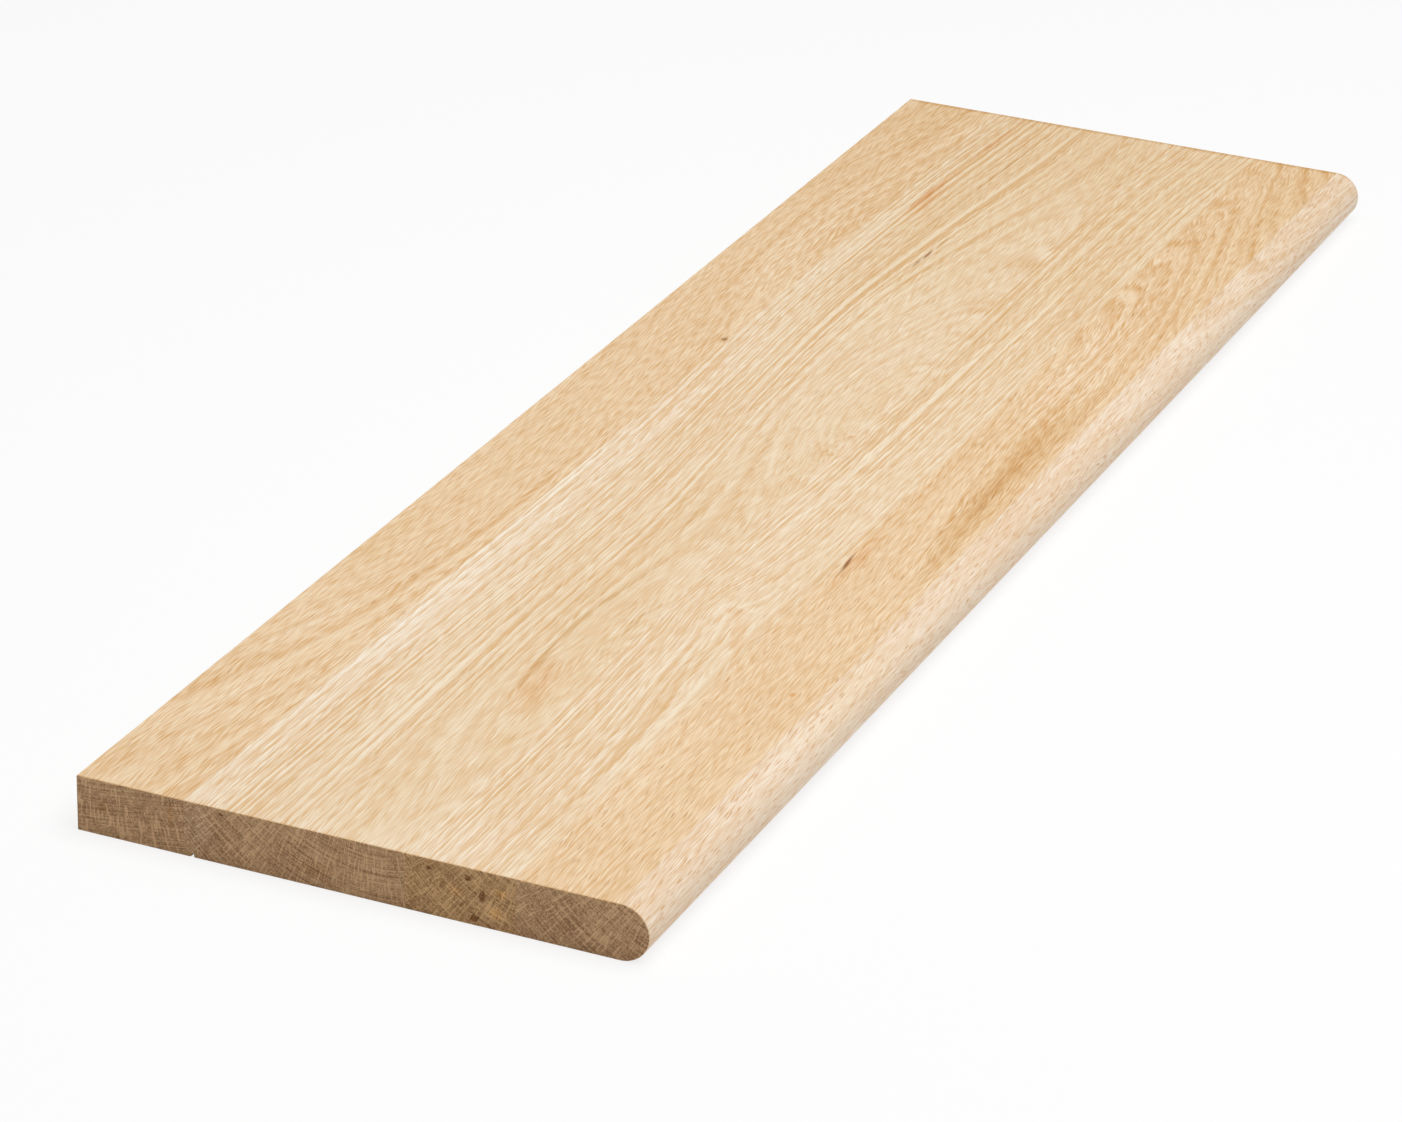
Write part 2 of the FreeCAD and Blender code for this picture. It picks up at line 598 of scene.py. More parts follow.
class SawnFace(Effect):
    """How clearly rings show: best where the saw cut across them, least where it cut along them."""

    takes = values("Angle")
    gives = values("Clarity")
    FLAT_SAWN = 0.1
    RIFT_SAWN = 0.65
    LEAST = 0.38

    @classmethod
    def wire(cls, sheet: NodeSheet, take: Sockets) -> Mapping[str, Source]:
        """Wires the clarity from the angle about the pith.

        Args:
            sheet: The group's own tree.
            take: The angle, in radians.

        Returns:
            Clarity, up to 1.
        """
        angle = sheet.calc(Op.ABSOLUTE, take["Angle"])
        across = sheet.ease(angle, cls.FLAT_SAWN, cls.RIFT_SAWN)
        return {"Clarity": sheet.calc(Op.MULTIPLY_ADD, across, 1.0 - cls.LEAST, cls.LEAST)}


class WoodSurface(Effect):
    """The sanded surface: open pores lie lower and are rougher than the fibres about them."""

    takes = values("Strokes", "Pores", "Earlywood", "End")
    gives = values("Height", "Roughness")
    EARLY_SHARE = 0.5
    PIT_DEPTH = 0.5
    SMOOTH = 0.58
    ROUGHER = 0.2

    @classmethod
    def wire(cls, sheet: NodeSheet, take: Sockets) -> Mapping[str, Source]:
        """Wires the relief and the roughness.

        Args:
            sheet: The group's own tree.
            take: The wood's parts, and where the ends are.

        Returns:
            Height, from 0 to about 1, and Roughness.
        """
        early = sheet.calc(Op.MULTIPLY, take["Earlywood"], cls.EARLY_SHARE)
        pits = sheet.calc(Op.MAXIMUM, take["Pores"], early)
        height = sheet.calc(Op.SUBTRACT, take["Strokes"], sheet.calc(Op.MULTIPLY, pits, cls.PIT_DEPTH))
        worn = sheet.calc(Op.MAXIMUM, pits, take["End"])
        roughness = sheet.calc(Op.MULTIPLY_ADD, worn, cls.ROUGHER, cls.SMOOTH)
        return {"Height": height, "Roughness": roughness}


class EndArris(Effect):
    """A narrow line along each sawn end, on the eased arris, where the long grain is tinted brown."""

    takes = {"Position": Kind.VECTOR}
    gives = values("Mask")
    START = FAR_END - 1.0
    FULL = FAR_END

    @classmethod
    def wire(cls, sheet: NodeSheet, take: Sockets) -> Mapping[str, Source]:
        """Wires Mask, a narrow line along both ends."""
        along = sheet.calc(Op.ABSOLUTE, sheet.split(take["Position"])[0])
        return {"Mask": sheet.ease(along, cls.START, cls.FULL)}


class SawnEnd(Effect):
    """Where the surface faces along the tread, so that the fibres' cut ends show."""

    takes = {"Normal": Kind.VECTOR}
    gives = values("End")
    START = 0.35
    FULL = 0.75

    @classmethod
    def wire(cls, sheet: NodeSheet, take: Sockets) -> Mapping[str, Source]:
        """Wires End, which is 1 where the surface faces along X."""
        facing = sheet.calc(Op.ABSOLUTE, sheet.split(take["Normal"])[0])
        return {"End": sheet.ease(facing, cls.START, cls.FULL)}


@dataclass(frozen=True)
class Swell:
    """A bulge in the rings of one stave, in millimetres of the tread's frame.

    The place is X and Y, and the half size lies along the tread and across it.
    """

    place: Pair
    half_size: Pair
    lift: float


class Stain(Enum):
    """The tints laid over the oak, mostly of what stained it while it grew."""

    CREAM = (1.05, 1.10, 1.20, 1.0)
    GOLD = (1.26, 1.18, 1.0, 1.0)
    HONEY = (0.96, 0.92, 0.84, 1.0)
    BLUSH = (0.94, 0.80, 0.66, 1.0)
    ORANGE = (0.90, 0.66, 0.44, 1.0)
    BROWN = (0.80, 0.66, 0.44, 1.0)
    UMBER = (0.44, 0.30, 0.20, 1.0)


@dataclass(frozen=True)
class Mark:
    """A stained patch in one stave, in millimetres of the tread's frame.

    The place is X and Y, and the half size lies along the tread and across it.
    """

    stain: Stain
    place: Pair
    half_size: Pair
    strength: float = 1.0
    slant: float = 0.0
    z: float = WALKING_FACE
    half_height: float = 14.0

    FRAY: ClassVar = 0.8

    @property
    def fray(self) -> float:
        """How the fibres fray the patch: dark stains soak into deep fibres, and pale ones shun them."""
        reach = min(self.half_size[1] / 2, self.FRAY)
        return reach if self.stain in (Stain.CREAM, Stain.GOLD) else -reach


def end_spot(stain: Stain, place: Pair, half_size: Pair, strength: float = 1.0) -> Mark:
    """Lays a stained patch on the left sawn end.

    Args:
        stain: The stain.
        place: Its Y and Z, in millimetres.
        half_size: Half its width and half its height, in millimetres.
        strength: How strongly it shows.

    Returns:
        The patch, which reaches a little way into the stave.
    """
    y, z = place
    half_width, half_height = half_size
    plan_size = (END_SPOT_REACH, half_width)
    return Mark(stain, (LEFT_END, y), plan_size, strength, z=z, half_height=half_height)


def far_line(y: float, half_width: float) -> Mark:
    """Lays a thin brown line along the far end, about the given Y."""
    return Mark(Stain.BROWN, (FAR_END, y), (FAR_LINE_REACH, half_width), FAR_LINE_STRENGTH)


@dataclass(frozen=True)
class OakColours:
    """The colours of one tone of oak, along the grain and on the sawn ends."""

    pale: Colour
    deep: Colour
    pore: Colour
    end_pale: Colour
    end_deep: Colour
    end_pore: Colour


class Tone(Enum):
    """The tones of oak that the staves were picked from."""

    PALE = OakColours(
        pale=srgb(243, 226, 199),
        deep=srgb(222, 182, 132),
        pore=srgb(190, 144, 96),
        end_pale=srgb(210, 172, 130),
        end_deep=srgb(138, 102, 70),
        end_pore=srgb(100, 72, 50),
    )
    STRAW = OakColours(
        pale=srgb(243, 226, 199),
        deep=srgb(222, 182, 132),
        pore=srgb(190, 144, 96),
        end_pale=srgb(212, 172, 124),
        end_deep=srgb(134, 97, 60),
        end_pore=srgb(96, 68, 42),
    )
    GOLDEN = OakColours(
        pale=srgb(242, 218, 184),
        deep=srgb(216, 169, 112),
        pore=srgb(182, 134, 84),
        end_pale=srgb(210, 172, 130),
        end_deep=srgb(136, 100, 68),
        end_pore=srgb(98, 70, 48),
    )


@dataclass(frozen=True)
class OakFinish:
    """Sanded bare oak of one stave, cut from its own place in the stem.

    Lengths are in millimetres of the tread's frame. Weights say how strongly a part of the wood shows.
    """

    slot: str
    tone: Tone
    pith_y: float
    pith_z: float
    ring_width: float
    depth: float = 0.4
    ring_weight: float = 0.5
    line_length: float = 300.0
    line_width: float = 1.0
    line_weight: float = 2.0
    drift: float = 3.0
    slope: float = 0.05
    runs: float = 14.0
    bow_share: float = 0.0
    stroke_length: float = 12.0
    stroke_width: float = 0.75
    stroke_weight: float = 1.3
    feather: float = 1.0
    pore_length: float = 11.0
    pore_width: float = 1.0
    pore_weight: float = 0.5
    end_blotches: float = 0.6
    swells: tuple[Swell, ...] = ()
    marks: tuple[Mark, ...] = ()
    end_marks: tuple[Mark, ...] = ()

    RELIEF: ClassVar = 0.12 * MM
    RELIEF_STRENGTH: ClassVar = 0.35
    GLOSS: ClassVar = 0.2
    END_SCALE: ClassVar = 1.2
    END_LINE_WIDTH: ClassVar = 0.5
    END_BLOTCH: ClassVar = 4.0
    END_DEPTH: ClassVar = 0.5
    END_RING_WEIGHT: ClassVar = 0.14
    END_LINE_WEIGHT: ClassVar = 1.5
    END_STROKE_WEIGHT: ClassVar = 1.1
    END_PORE_WEIGHT: ClassVar = 0.6
    END_RAY_WEIGHT: ClassVar = 0.55
    ARRIS_SHARE: ClassVar = 0.7
    RAY_WEIGHT: ClassVar = 0.2
    SHADE_WEIGHT: ClassVar = 0.4
    SHADE_LENGTH: ClassVar = 120.0
    SHADE_WIDTH: ClassVar = 17.0

    def radius(self, sheet: NodeSheet, position: Socket) -> Sockets:
        """Wires the rings' field, with the swells of this stave.

        Args:
            sheet: The material's tree.
            position: The place, in millimetres.

        Returns:
            Radius, Angle, and the Bow that the swells give the fibres.
        """
        ragged = VesselRuns.place(sheet, {"Position": position, "Reach": self.runs})["Position"]
        feeds = {
            "Position": position,
            "Pith Y": self.pith_y,
            "Pith Z": self.pith_z,
            "Drift": self.drift,
        }
        field = GrowthField.place(sheet, feeds)
        radius = field["Radius"]
        for swell in self.swells:
            feeds = {
                "Position": ragged,
                "Radius": radius,
                "Centre X": swell.place[0],
                "Centre Y": swell.place[1],
                "Half Length": swell.half_size[0],
                "Half Width": swell.half_size[1],
                "Lift": swell.lift,
            }
            radius = RingSwell.place(sheet, feeds)["Radius"]
        bow = sheet.calc(Op.SUBTRACT, radius, field["Radius"])
        return {
            "Radius": radius,
            "Angle": field["Angle"],
            "Bow": sheet.calc(Op.MULTIPLY, bow, self.bow_share),
        }

    def grain(self, sheet: NodeSheet, position: Socket, bow: Source, scale: float = 1.0) -> Sockets:
        """Wires the fibres and pores.

        Args:
            sheet: The material's tree.
            position: The place, in millimetres.
            bow: How far the fibres bow aside.
            scale: How much wider or finer they are than along the grain.

        Returns:
            Strokes, Fibre Ends and Pores.
        """
        feeds = {
            "Position": position,
            "Bow": bow,
            "Stroke Length": self.stroke_length,
            "Stroke Width": self.stroke_width * scale,
            "Pore Length": self.pore_length,
            "Pore Width": self.pore_width * scale,
            "Slope": self.slope,
        }
        return GrainStrokes.place(sheet, feeds)

    def wood(self, sheet: NodeSheet, position: Socket) -> dict[str, Source]:
        """Wires all the parts of the wood.

        Args:
            sheet: The material's tree.
            position: The place, in millimetres.

        Returns:
            Earlywood, Lines, Strokes, Pores, Rays, Clarity and Shade.
        """
        field = self.radius(sheet, position)
        grain = self.grain(sheet, position, field["Bow"])
        return {
            "Strokes": grain["Strokes"],
            "Pores": grain["Pores"],
            **self.rings(sheet, position, field, grain["Strokes"], self.line_width),
            "Rays": self.rays(sheet, position, field),
            "Clarity": SawnFace.place(sheet, {"Angle": field["Angle"]})["Clarity"],
            "Shade": self.shade(sheet, position, self.SHADE_LENGTH, self.SHADE_WIDTH),
        }

    def end_wood(self, sheet: NodeSheet, position: Socket) -> dict[str, Source]:
        """Wires the parts of the wood as a sawn end shows them, with finer lines and its own blotches.

        Args:
            sheet: The material's tree.
            position: The place, in millimetres.

        Returns:
            Earlywood, Lines, Strokes, Pores, Rays, Clarity and Shade.
        """
        field = self.radius(sheet, position)
        grain = self.grain(sheet, position, 0.0, self.END_SCALE)
        return {
            "Strokes": grain["Fibre Ends"],
            "Pores": grain["Pores"],
            **self.rings(sheet, position, field, grain["Fibre Ends"], self.END_LINE_WIDTH),
            "Rays": self.rays(sheet, position, field),
            "Clarity": 1.0,
            "Shade": self.shade(sheet, position, self.END_BLOTCH, self.END_BLOTCH),
        }

    def rings(
        self, sheet: NodeSheet, position: Socket, field: Sockets, strokes: Socket, line_width: float
    ) -> Sockets:
        """Wires the bands and the fine lines of the growth rings.

        Args:
            sheet: The material's tree.
            position: The place, in millimetres.
            field: The rings' field there.
            strokes: The fibres, which feather the rings.
            line_width: The fine lines' width, in millimetres.

        Returns:
            Earlywood and Lines.
        """
        feeds = {
            "Position": position,
            "Radius": field["Radius"],
            "Angle": field["Angle"],
            "Strokes": strokes,
            "Ring Width": self.ring_width,
            "Feather": self.feather,
            "Line Length": self.line_length,
            "Line Width": line_width,
        }
        rings = RingBands.place(sheet, feeds)
        return {"Earlywood": rings["Earlywood"], "Lines": rings["Lines"]}

    def shade(self, sheet: NodeSheet, position: Socket, length: float, width: float) -> Socket:
        """Wires stretches of deeper and paler tone, of the given size in millimetres."""
        return SlowShade.place(sheet, {"Position": position, "Length": length, "Width": width})["Shade"]

    def ring_strength(self, sheet: NodeSheet, position: Socket) -> Source:
        """How strongly the rings show along the grain, which is the same all over a plain stave."""
        return self.ring_weight

    def rays(self, sheet: NodeSheet, position: Socket, field: Sockets) -> Socket:
        """Wires the rays that run out from the pith of this stave."""
        feeds = {"Position": position, "Radius": field["Radius"], "Angle": field["Angle"]}
        return WoodRays.place(sheet, feeds)["Rays"]

    def colour(self, sheet: NodeSheet, position: Socket, wood: dict[str, Source], end: Socket) -> Socket:
        """Wires the colour along the grain, its marks, and the sawn ends.

        Args:
            sheet: The material's tree.
            position: The place, in millimetres.
            wood: The wood's parts.
            end: Where the sawn ends are.

        Returns:
            The colour.
        """
        tones = self.tone.value
        feeds = {
            **wood,
            "Depth": self.depth,
            "Shade Weight": self.SHADE_WEIGHT,
            "Ring Weight": self.ring_strength(sheet, position),
            "Line Weight": self.line_weight,
            "Stroke Weight": self.stroke_weight,
            "Pore Weight": self.pore_weight,
            "Ray Weight": self.RAY_WEIGHT,
            "Pale": tones.pale,
            "Deep": tones.deep,
            "Pore": tones.pore,
        }
        long_grain = OakTone.place(sheet, feeds)["Color"]
        long_grain = self.marked(sheet, position, wood["Strokes"], long_grain, self.marks)
        # A narrow brown line along both ends of the long grain.
        arris = EndArris.place(sheet, {"Position": position})["Mask"]
        browned = sheet.calc(Op.MULTIPLY, arris, self.ARRIS_SHARE)
        long_grain = sheet.mix(browned, long_grain, Stain.BROWN.value, Blend.TINT)
        end_wood = self.end_wood(sheet, position)
        feeds = {
            **end_wood,
            "Depth": self.END_DEPTH,
            "Shade Weight": self.end_blotches,
            "Ring Weight": self.END_RING_WEIGHT,
            "Line Weight": self.END_LINE_WEIGHT,
            "Stroke Weight": self.END_STROKE_WEIGHT,
            "Pore Weight": self.END_PORE_WEIGHT,
            "Ray Weight": self.END_RAY_WEIGHT,
            "Pale": tones.end_pale,
            "Deep": tones.end_deep,
            "Pore": tones.end_pore,
        }
        end_grain = OakTone.place(sheet, feeds)["Color"]
        end_grain = self.marked(sheet, position, end_wood["Strokes"], end_grain, self.end_marks)
        return sheet.mix(end, long_grain, end_grain)

    def marked(
        self,
        sheet: NodeSheet,
        position: Socket,
        strokes: Source,
        colour: Socket,
        marks: tuple[Mark, ...],
    ) -> Socket:
        """Wires stained patches over a colour.

        Args:
            sheet: The material's tree.
            position: The place, in millimetres.
            strokes: The fibres, which fray the patches.
            colour: The colour of the clean wood.
            marks: The patches.

        Returns:
            The stained colour.
        """
        for mark in marks:
            feeds = {
                "Position": position,
                "Strokes": strokes,
                "Centre X": mark.place[0],
                "Centre Y": mark.place[1],
                "Centre Z": mark.z,
                "Half Length": mark.half_size[0],
                "Half Width": mark.half_size[1],
                "Half Height": mark.half_height,
                "Slant": mark.slant,
                "Fray": mark.fray,
                "Strength": mark.strength,
            }
            mask = LocalMark.place(sheet, feeds)["Mask"]
            colour = sheet.mix(mask, colour, mark.stain.value, Blend.TINT)
        return colour

    def material(self) -> bpy.types.Material:
        """Builds the stave's material.

        Returns:
            The material, named after its slot.
        """
        material = bpy.data.materials.new(self.slot)
        material.use_nodes = True
        material.node_tree.nodes.clear()
        sheet = NodeSheet(material.node_tree)
        coordinates = sheet.add("ShaderNodeTexCoord").outputs
        scale = {"Vector": coordinates["Object"], "Scale": (MM_PER_METRE,) * 3}
        position = sheet.add("ShaderNodeMapping", scale).outputs["Vector"]
        end = SawnEnd.place(sheet, {"Normal": coordinates["Normal"]})["End"]
        wood = self.wood(sheet, position)
        parts = {name: wood[name] for name in ("Strokes", "Pores", "Earlywood")}
        surface = WoodSurface.place(sheet, {**parts, "End": end})
        relief = {"Height": surface["Height"], "Distance": self.RELIEF, "Strength": self.RELIEF_STRENGTH}
        feeds = {
            "Base Color": self.colour(sheet, position, wood, end),
            "Roughness": surface["Roughness"],
            "Specular IOR Level": self.GLOSS,
            "Normal": sheet.add("ShaderNodeBump", relief).outputs["Normal"],
        }
        shader = sheet.add("ShaderNodeBsdfPrincipled", feeds)
        sheet.add("ShaderNodeOutputMaterial", {"Surface": shader.outputs["BSDF"]})
        return material


@dataclass(frozen=True)
class MouldedOak(OakFinish):
    """The nosing stave's oak, with painted light: the rounded nose is painted paler and cooler, where
    light falls brighter on it.
    """

    rings_from: float = 0.0
    rings_to: float = 0.0
    nose_start: float = 0.0
    nose_pores: float = 0.75

    NOSE_BLEND: ClassVar = 1.2
    # Painted light: a paler, cooler tint over the nose, for the brighter light that falls on its curve.
    NOSE_TINT: ClassVar = (1.02, 1.11, 1.33, 1.0)
    NOSE_PORE: ClassVar = srgb(218, 172, 128)

    def flatness(self, sheet: NodeSheet, position: Socket) -> Socket:
        """Wires 1 on the flat of the stave and 0 on its nose."""
        y = sheet.split(position)[1]
        return sheet.ease(y, self.nose_start - self.NOSE_BLEND, self.nose_start + self.NOSE_BLEND)

    def ring_strength(self, sheet: NodeSheet, position: Socket) -> Source:
        """Wires how strongly the rings show, which grows along the flat of this stave.

        Args:
            sheet: The material's tree.
            position: The place, in millimetres.

        Returns:
            The rings' weight, which is nought on the nose.
        """
        share = sheet.ease(sheet.split(position)[0], self.rings_from, self.rings_to)
        flat = sheet.calc(Op.MULTIPLY, self.flatness(sheet, position), self.ring_weight)
        return sheet.calc(Op.MULTIPLY, share, flat)

    def colour(self, sheet: NodeSheet, position: Socket, wood: dict[str, Source], end: Socket) -> Socket:
        """Wires the stave's colour, with painted light that makes it paler past the start of the nose.

        Args:
            sheet: The material's tree.
            position: The place, in millimetres.
            wood: The wood's parts.
            end: Where the sawn ends are.

        Returns:
            The colour.
        """
        plain = super().colour(sheet, position, wood, end)
        nose = sheet.inverse(self.flatness(sheet, position))
        long_side = sheet.calc(Op.MULTIPLY, nose, sheet.inverse(end))
        # Painted light: tints the nose's long grain paler.
        pale = sheet.mix(long_side, plain, self.NOSE_TINT, Blend.TINT)
        shown = sheet.calc(Op.MULTIPLY, long_side, self.nose_pores)
        pores = sheet.calc(Op.MULTIPLY, wood["Pores"], shown)
        return sheet.mix(pores, pale, self.NOSE_PORE)


def select_only(piece: Piece) -> None:
    """Selects one object alone and makes it the active one.

    Args:
        piece: The object.
    """
    bpy.ops.object.select_all(action="DESELECT")
    piece.select_set(True)
    bpy.context.view_layer.objects.active = piece


class Element(Enum):
    """The parts of a mesh that are picked."""

    EDGE = "edges"
    FACE = "faces"


def pick(piece: Piece, element: Element, test: Callable[[MeshPart], bool]) -> None:
    """Opens a piece in edit mode with only some of its edges or faces selected.

    Args:
        piece: The piece.
        element: Whether edges or faces are picked.
        test: True for one to select.
    """
    bpy.ops.object.mode_set(mode="EDIT")
    bpy.ops.mesh.select_mode(type=element.name)
    bpy.ops.mesh.select_all(action="DESELECT")
    mesh = bmesh.from_edit_mesh(piece.data)
    for part in getattr(mesh, element.value):
        if test(part):
            part.select = True
    mesh.select_flush_mode()
    bmesh.update_edit_mesh(piece.data)


def cut_away(piece: Piece, cutter: Piece) -> None:
    """Cuts one piece's shape out of another, and throws the cutter away.

    Args:
        piece: The piece to cut.
        cutter: A closed shape.
    """
    select_only(piece)
    bpy.ops.object.modifier_add(type="BOOLEAN")
    cut = piece.modifiers[-1]
    cut.operation = "DIFFERENCE"
    cut.solver = "EXACT"
    cut.object = cutter
    bpy.ops.object.modifier_apply(modifier=cut.name)
    bpy.data.objects.remove(cutter)


def closed_volume(piece: Piece) -> str:
    """Tells a piece's volume and how many of its edges are open, for the log.

    Args:
        piece: The piece.

    Returns:
        A few words.
    """
    mesh = bmesh.new()
    mesh.from_mesh(piece.data)
    open_edges = sum(not edge.is_manifold for edge in mesh.edges)
    volume = mesh.calc_volume(signed=True) / MM**3
    mesh.free()
    return f"{volume:.0f} mm3, {open_edges} open edges"


@dataclass(frozen=True)
class OpenCheck:
    """A drying check that has opened in the walking face, in millimetres of the tread's frame."""

    x: float
    y: float
    length: float
    width: float
    depth: float
    turn: float = 0.0

    SUBDIVISIONS: ClassVar = 3
    RAGGED: ClassVar = 0.06
    EVENNESS: ClassVar = 0.5

    def cutter(self, top: float) -> Piece:
        """Models the check's hollow: a long lens that stands half out of the face.

        Args:
            top: The walking face's height, in metres.

        Returns:
            The hollow's shape.
        """
        bpy.ops.object.select_all(action="DESELECT")
        bpy.ops.mesh.primitive_ico_sphere_add(subdivisions=self.SUBDIVISIONS, radius=1.0)
        hollow = bpy.context.object
        bpy.ops.object.mode_set(mode="EDIT")
        bpy.ops.mesh.select_all(action="SELECT")
        bpy.ops.transform.vertex_random(
            offset=self.RAGGED, uniform=self.EVENNESS, seed=int(abs(self.x))
        )
        bpy.ops.object.mode_set(mode="OBJECT")
        hollow.scale = Vector((self.length / 2, self.width / 2, self.depth)) * MM
        hollow.rotation_euler = (0.0, 0.0, self.turn)
        hollow.location = (self.x * MM, self.y * MM, top)
        bpy.ops.object.transform_apply()
        return hollow


@dataclass(frozen=True)
class MissingSplinter:
    """A splinter that broke off a stave's lower edge at the left end, in front of its back glue line.

    Sizes are in millimetres: the way in from the glue line, the run along the grain, and the mouth.
    """

    offset: float
    run: float
    width: float
    height: float

    OVERSHOOT: ClassVar = 1.0
    CUTS: ClassVar = 7
    ROUGHNESS: ClassVar = 0.08
    EVENNESS: ClassVar = 0.6
    SEED: ClassVar = 3
    FACING_RIGHT: ClassVar = 0.9

    def cutter(self, left: float, glue_line: float, bottom: float) -> Piece:
        """Models the splinter: a rough block that tapers along the grain and stands out of both faces.

        Args:
            left: The left end's X, in metres.
            glue_line: The back glue line's Y, in metres.
            bottom: The underside's Z, in metres.

        Returns:
            The splinter.
        """
        reach = 1.0 + self.OVERSHOOT / self.run
        inwards = Vector((self.run, -self.offset - self.width / 2, 0.0)) * MM
        tip = Vector((left, glue_line, bottom)) + inwards
        half_width = self.width * reach / 2
        low = tip + Vector((-self.run * reach, -half_width, -self.OVERSHOOT)) * MM
        high = tip + Vector((0.0, half_width, self.height * reach)) * MM
        bpy.ops.object.select_all(action="DESELECT")
        bpy.ops.mesh.primitive_cube_add(size=1.0, location=(low + high) / 2, scale=high - low)
        splinter = bpy.context.object
        bpy.ops.object.transform_apply()
        pick(splinter, Element.FACE, lambda face: face.normal.x > self.FACING_RIGHT)
        bpy.ops.mesh.merge(type="CENTER")
        bpy.ops.transform.translate(value=(0.0, 0.0, tip.z - (low.z + high.z) / 2))
        bpy.ops.mesh.select_all(action="SELECT")
        bpy.ops.mesh.subdivide(number_cuts=self.CUTS)
        bpy.ops.transform.vertex_random(
            offset=self.ROUGHNESS * MM, uniform=self.EVENNESS, seed=self.SEED
        )
        bpy.ops.mesh.quads_convert_to_tris()
        bpy.ops.object.mode_set(mode="OBJECT")
        return splinter


@dataclass
class MouldedPanel:
    """The glued-up blank, before its glue lines divide it: moulded, cut to length and eased."""

    low: Vector
    high: Vector
    arris: float = 0.5 * MM
    arris_steps: int = 3
    nose_steps: int = 24

    @property
    def thickness(self) -> float:
        """The panel's thickness."""
        return self.high.z - self.low.z

    def on_end(self, edge: bmesh.types.BMEdge) -> bool:
        """True for an edge that lies in one of the sawn ends."""
        ends = (self.low.x, self.high.x)
        return any(all(abs(vert.co.x - end) < SLACK for vert in edge.verts) for end in ends)

    def on_back(self, edge: bmesh.types.BMEdge) -> bool:
        """True for an edge that lies in the back face."""
        return all(abs(vert.co.y - self.high.y) < SLACK for vert in edge.verts)

    def on_front(self, edge: bmesh.types.BMEdge) -> bool:
        """True for a long edge of the square front, before it is rounded."""
        in_front = all(abs(vert.co.y - self.low.y) < SLACK for vert in edge.verts)
        return in_front and not self.on_end(edge)

    def round_off(self, radius: float, steps: int) -> None:
        """Rounds the edges that are selected, in so many steps."""
        bpy.ops.mesh.bevel(offset=radius, segments=steps, affect="EDGES", clamp_overlap=False)

    def build(self) -> Piece:
        """Models the panel from a block.

        Returns:
            The panel.
        """
        bpy.ops.object.select_all(action="DESELECT")
        bpy.ops.mesh.primitive_cube_add(
            size=1.0, location=(self.low + self.high) / 2, scale=self.high - self.low
        )
        panel = bpy.context.object
        bpy.ops.object.transform_apply()
        pick(panel, Element.EDGE, self.on_front)
        self.round_off(self.thickness / 2, self.nose_steps)
        bpy.ops.mesh.select_all(action="SELECT")
        bpy.ops.mesh.remove_doubles(threshold=SLACK)
        pick(panel, Element.EDGE, lambda edge: self.on_end(edge) or self.on_back(edge))
        self.round_off(self.arris, self.arris_steps)
        bpy.ops.object.mode_set(mode="OBJECT")
        return panel


@dataclass
class Stave:
    """One full-length stave, cut out of the moulded panel along its glue lines."""

    node: str
    finish: OakFinish
    checks: tuple[OpenCheck, ...] = ()
    splinter: MissingSplinter | None = None

    SMOOTH_ANGLE: ClassVar = math.radians(40)

    @property
    def name(self) -> str:
        """The piece's name."""
        return f"{self.node}_oak"

    def build(self, panel: Piece) -> Piece:
        """Models the stave from a copy of the panel.

        Args:
            panel: The moulded panel, which stays as it is.

        Returns:
            The stave.
        """
        low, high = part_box(self.node)
        select_only(panel)
        bpy.ops.object.duplicate()
        stave = bpy.context.object
        stave.name = stave.data.name = self.name
        self.saw(stave, high.y, keep_front=True)
        self.saw(stave, low.y, keep_front=False)
        for check in self.checks:
            cut_away(stave, check.cutter(high.z))
        if self.splinter is not None:
            cut_away(stave, self.splinter.cutter(low.x, high.y, low.z))
        self.shade(stave)
        return stave

    def saw(self, stave: Piece, y: float, keep_front: bool) -> None:
        """Saws a stave along its length and closes the cut, or leaves out a cut that meets no wood.

        Args:
            stave: The stave.
            y: Where the cut runs.
            keep_front: Whether the side towards the nose stays.
        """
        sides = [vert.co.y for vert in stave.data.vertices]
        if not min(sides) + SLACK < y < max(sides) - SLACK:
            return
        select_only(stave)
        bpy.ops.object.mode_set(mode="EDIT")
        bpy.ops.mesh.select_all(action="SELECT")
        bpy.ops.mesh.bisect(
            plane_co=(0.0, y, 0.0),
            plane_no=(0.0, 1.0, 0.0),
            use_fill=True,
            clear_inner=not keep_front,
            clear_outer=keep_front,
            threshold=SLACK,
        )
        bpy.ops.object.mode_set(mode="OBJECT")

    def shade(self, stave: Piece) -> None:
        """Smooths the rounded stretches, and keeps the flat faces flat.

        Args:
            stave: The stave.
        """
        select_only(stave)
        bpy.ops.object.shade_smooth_by_angle(angle=self.SMOOTH_ANGLE)
        bpy.ops.object.modifier_add(type="WEIGHTED_NORMAL")
        stave.modifiers[-1].keep_sharp = True
        bpy.ops.object.modifier_apply(modifier=stave.modifiers[-1].name)

    def dress(self, stave: Piece) -> None:
        """Gives the stave its oak, hangs it on the root body, and hides the part that it stands in for.

        Args:
            stave: The stave.
        """
        stave.data.materials.clear()
        stave.data.materials.append(self.finish.material())
        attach(stave, BODY)
        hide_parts(self.node)


@dataclass
class Tread:
    """The whole tread: its panel, and the staves from the back edge to the nose."""

    staves: tuple[Stave, ...]

    def build(self) -> list[Piece]:
        """Models and dresses every stave.

        Returns:
            The staves, from the back edge to the nose.
        """
        low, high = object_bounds()
        panel = MouldedPanel(low, high).build()
        pieces = []
        for stave in self.staves:
            piece = stave.build(panel)
            stave.dress(piece)
            pieces.append(piece)
        bpy.data.objects.remove(panel)
        return pieces


class RayKind(Enum):
    """The rays that see the white backdrop instead of the light that falls."""

    CAMERA = "Is Camera Ray"
    GLOSSY = "Is Glossy Ray"
    TRANSMISSION = "Is Transmission Ray"


